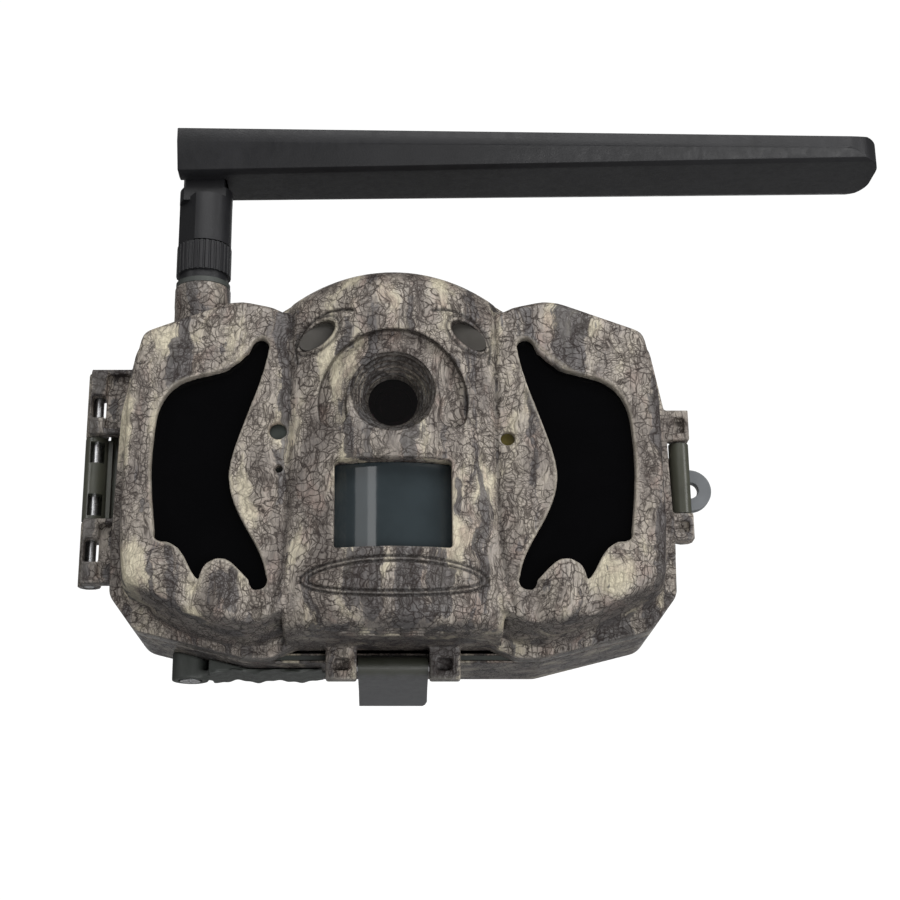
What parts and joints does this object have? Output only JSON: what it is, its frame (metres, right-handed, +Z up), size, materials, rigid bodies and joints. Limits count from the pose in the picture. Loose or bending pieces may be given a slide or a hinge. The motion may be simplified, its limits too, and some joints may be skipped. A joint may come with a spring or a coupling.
{
  "type": "trail camera",
  "caption": "Strap-mounted trail camera with a hinged two-part camouflage case, lens, motion sensor, infrared windows, latches and a folding paddle antenna.",
  "frame": {"origin": "centre of the tripod socket's mouth, on the face of the rear strap bracket", "axes": "+Y out of the back, along the tripod socket; +Z up; +X to the right of a person facing the lens"},
  "size_m": [0.2041, 0.0712, 0.1437],
  "materials": {
    "camo_shell": "moulded plastic with a printed bark camouflage film, satin",
    "olive_plastic": "dark olive moulded plastic, satin",
    "grey_plastic": "dark grey moulded plastic, satin",
    "black_plastic": "black moulded plastic, matt",
    "antenna_black": "black moulded plastic, satin",
    "ir_black": "infrared-pass acrylic, gloss black",
    "smoked_window": "smoked polyethylene, glossy",
    "clear_glass": "coated optical glass, polished",
    "black_rubber": "moulded rubber, matt",
    "steel": "plain steel",
    "zinc": "dark zinc plated steel",
    "brass": "plain brass",
    "board_green": "glass-epoxy circuit board with solder mask",
    "led_lens": "tinted epoxy",
    "status_amber": "tinted epoxy",
    "cell_wrap": "shrink-wrapped cell, plain",
    "key_grey": "silicone rubber key",
    "lcd_dark": "display glass, off",
    "card_blue": "plain card"
  },
  "bodies": {
    "rear_case": {"rear_housing": "camo_shell", "case_gasket": "black_rubber", "hinge_leaf": "olive_plastic", "hinge_pin": "steel", "hinge_leaf_screws": "zinc", "lock_eye": "grey_plastic", "strap_bracket": "black_plastic", "bracket_screws": "zinc", "tripod_insert": "brass", "battery_tray": "black_plastic", "battery_cells": "cell_wrap", "battery_terminals": "steel", "power_contact_pads": "brass", "dc_jack": "black_plastic", "usb_socket": "steel", "port_cover_anchor": "black_rubber", "port_cover_screw": "steel"},
    "front_case": {"front_housing": "camo_shell", "ir_windows": "ir_black", "ir_led_boards": "board_green", "ir_leds": "led_lens", "pir_window": "smoked_window", "pir_sensor": "steel", "lens_window": "clear_glass", "lens_barrel": "black_plastic", "lens_element": "clear_glass", "ir_cut_filter": "black_plastic", "image_sensor": "black_plastic", "eye_windows": "smoked_window", "light_sensor_window": "smoked_window", "microphone": "steel", "status_led": "status_amber", "speaker": "steel", "inner_panel": "black_plastic", "main_board": "board_green", "panel_screws": "zinc", "lcd_display": "lcd_dark", "lcd_window": "clear_glass", "mode_switch_body": "black_plastic", "card_sockets": "steel", "power_contact_pins": "brass", "antenna_connector": "brass", "antenna_coax": "black_rubber", "antenna_seal": "black_rubber", "latch_pins": "steel"},
    "port_flap": {"port_cover_flap": "black_rubber"},
    "side_latch": {"side_latch": "olive_plastic"},
    "bottom_latch": {"bottom_latch": "olive_plastic"},
    "antenna_nut": {"antenna_nut": "antenna_black"},
    "antenna_swivel": {"antenna_swivel": "antenna_black"},
    "antenna_blade": {"antenna_blade": "antenna_black", "antenna_pivot_pin": "black_plastic"},
    "mode_switch": {"mode_switch_slider": "key_grey"},
    "sd_card": {"sd_card": "card_blue"},
    "key_up": {"key_up": "key_grey"},
    "key_down": {"key_down": "key_grey"},
    "key_left": {"key_left": "key_grey"},
    "key_right": {"key_right": "key_grey"},
    "key_ok": {"key_ok": "key_grey"},
    "key_shutter": {"key_shutter": "key_grey"}
  },
  "joints": [
    {"name": "case_hinge", "type": "hinge", "parent": "rear_case", "child": "front_case", "pos_m": [-0.0754, -0.0327, 0], "axis": [0, 0, -1], "range_deg": [0, 120]},
    {"name": "side_latch_swing", "type": "hinge", "parent": "front_case", "child": "side_latch", "pos_m": [0.0722, -0.0352, -0.0034], "axis": [0, 0, -1], "range_deg": [0, 110]},
    {"name": "bottom_latch_swing", "type": "hinge", "parent": "front_case", "child": "bottom_latch", "pos_m": [0, -0.0354, -0.0509], "axis": [-1, 0, 0], "range_deg": [0, 110]},
    {"name": "port_flap_bend", "type": "hinge", "parent": "rear_case", "child": "port_flap", "pos_m": [-0.0459, -0.0205, -0.051], "axis": [0, 1, 0], "range_deg": [0, 100]},
    {"name": "antenna_nut_turn", "type": "hinge", "parent": "front_case", "child": "antenna_nut", "pos_m": [-0.0487, -0.0425, 0.052], "axis": [0, 0, 1], "continuous": true},
    {"name": "antenna_turn", "type": "hinge", "parent": "front_case", "child": "antenna_swivel", "pos_m": [-0.0487, -0.0425, 0.065], "axis": [0, 0, 1], "continuous": true},
    {"name": "antenna_fold", "type": "hinge", "parent": "antenna_swivel", "child": "antenna_blade", "pos_m": [-0.0487, -0.0425, 0.0775], "axis": [0, -1, 0], "range_deg": [0, 90]},
    {"name": "mode_switch_slide", "type": "slide", "parent": "front_case", "child": "mode_switch", "axis": [1, 0, 0], "range_m": [-0.004, 0.004]},
    {"name": "sd_card_slide", "type": "slide", "parent": "front_case", "child": "sd_card", "axis": [1, 0, 0], "range_m": [0, 0.008]},
    {"name": "key_up_press", "type": "slide", "parent": "front_case", "child": "key_up", "axis": [0, -1, 0], "range_m": [0, 0.0006], "stiffness_N_per_m": 500},
    {"name": "key_down_press", "type": "slide", "parent": "front_case", "child": "key_down", "axis": [0, -1, 0], "range_m": [0, 0.0006], "stiffness_N_per_m": 500},
    {"name": "key_left_press", "type": "slide", "parent": "front_case", "child": "key_left", "axis": [0, -1, 0], "range_m": [0, 0.0006], "stiffness_N_per_m": 500},
    {"name": "key_right_press", "type": "slide", "parent": "front_case", "child": "key_right", "axis": [0, -1, 0], "range_m": [0, 0.0006], "stiffness_N_per_m": 500},
    {"name": "key_ok_press", "type": "slide", "parent": "front_case", "child": "key_ok", "axis": [0, -1, 0], "range_m": [0, 0.0006], "stiffness_N_per_m": 500},
    {"name": "key_shutter_press", "type": "slide", "parent": "front_case", "child": "key_shutter", "axis": [0, -1, 0], "range_m": [0, 0.0006], "stiffness_N_per_m": 500}
  ]
}
